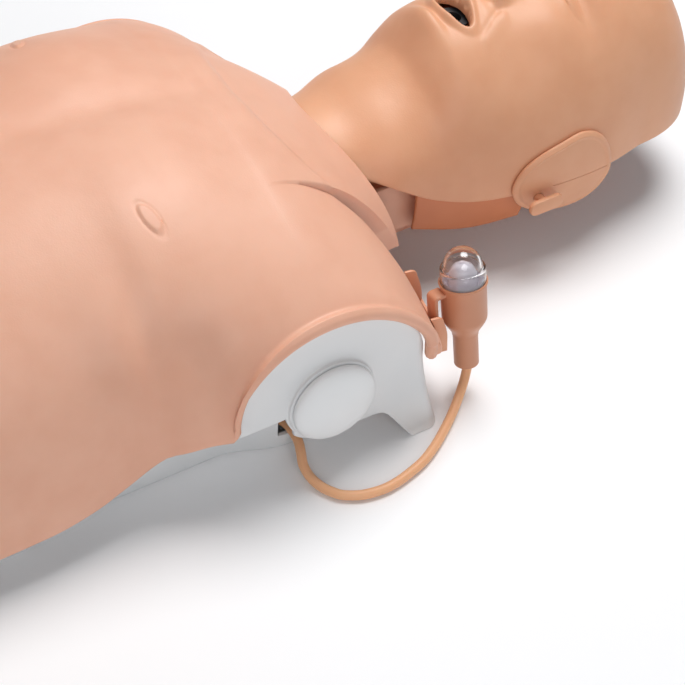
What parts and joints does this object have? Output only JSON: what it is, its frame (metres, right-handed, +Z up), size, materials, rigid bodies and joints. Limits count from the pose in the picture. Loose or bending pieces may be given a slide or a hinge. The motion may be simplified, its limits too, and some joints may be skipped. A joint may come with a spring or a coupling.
{
  "type": "cpr training manikin",
  "caption": "Adult torso and head for chest compression training, lying on its back, with a soft skin, a tilting head, a sprung chest plate and an indicator lamp on a cable.",
  "frame": {"origin": "centre of the footprint, on the surface that the manikin lies on", "axes": "+X to the manikin's left, +Y to the crown of the head, +Z up out of the chest"},
  "size_m": [0.4312, 0.76, 0.211],
  "materials": {
    "skin": "soft moulded vinyl, satin",
    "mask_skin": "soft moulded vinyl, satin",
    "skull_plastic": "moulded, satin",
    "white_plastic": "moulded, fine satin",
    "lamp_plastic": "moulded, satin",
    "clear_plastic": "polished clear plastic",
    "led_resin": "gloss",
    "cable_sheath": "smooth sheath",
    "steel": "bright drawn steel",
    "dark_plastic": "moulded, matt",
    "circuit_board": "lacquered laminate",
    "cell_can": "printed can, plain",
    "bag_film": "thin clear film"
  },
  "bodies": {
    "torso": {"torso_frame": "white_plastic", "base_tray": "white_plastic", "chest_skin": "skin", "arm_cap_left": "white_plastic", "arm_cap_right": "white_plastic", "guide_tube": "dark_plastic", "compression_spring": "steel", "electronics_box": "dark_plastic", "electronics_lid": "dark_plastic", "lid_screw_front": "steel", "lid_screw_back": "steel", "battery_1": "cell_can", "battery_2": "cell_can", "battery_3": "cell_can", "circuit_board": "circuit_board", "cable_gland": "dark_plastic", "depth_switch": "dark_plastic", "frame_screw_1": "steel", "frame_screw_2": "steel", "frame_screw_3": "steel", "frame_screw_4": "steel", "neck_bracket": "skin", "bracket_screw_left": "steel", "bracket_screw_right": "steel", "neck_pin": "steel", "lamp_housing": "lamp_plastic", "lamp_lens": "clear_plastic", "lamp_led": "led_resin", "lamp_pocket": "skin", "lamp_cable": "cable_sheath"},
    "chest": {"guide_rod": "steel", "trigger_magnet": "steel", "chest_plate": "dark_plastic", "lung_bag": "bag_film"},
    "head": {"skull_shell": "skull_plastic", "face_mask": "mask_skin", "airway_connector": "dark_plastic", "ear_tab_left": "mask_skin", "mask_peg_left": "mask_skin", "ear_tab_right": "mask_skin", "mask_peg_right": "mask_skin"}
  },
  "joints": [
    {"name": "head_tilt", "type": "hinge", "parent": "torso", "child": "head", "pos_m": [0, 0.14, 0.08], "axis": [-1, 0, 0], "range_deg": [0, 15]},
    {"name": "chest_compression", "type": "slide", "parent": "torso", "child": "chest", "axis": [0, 0, -1], "range_m": [0, 0.052], "stiffness_N_per_m": 8500, "springref_m": -0.003, "deforming": ["compression_spring"]}
  ]
}
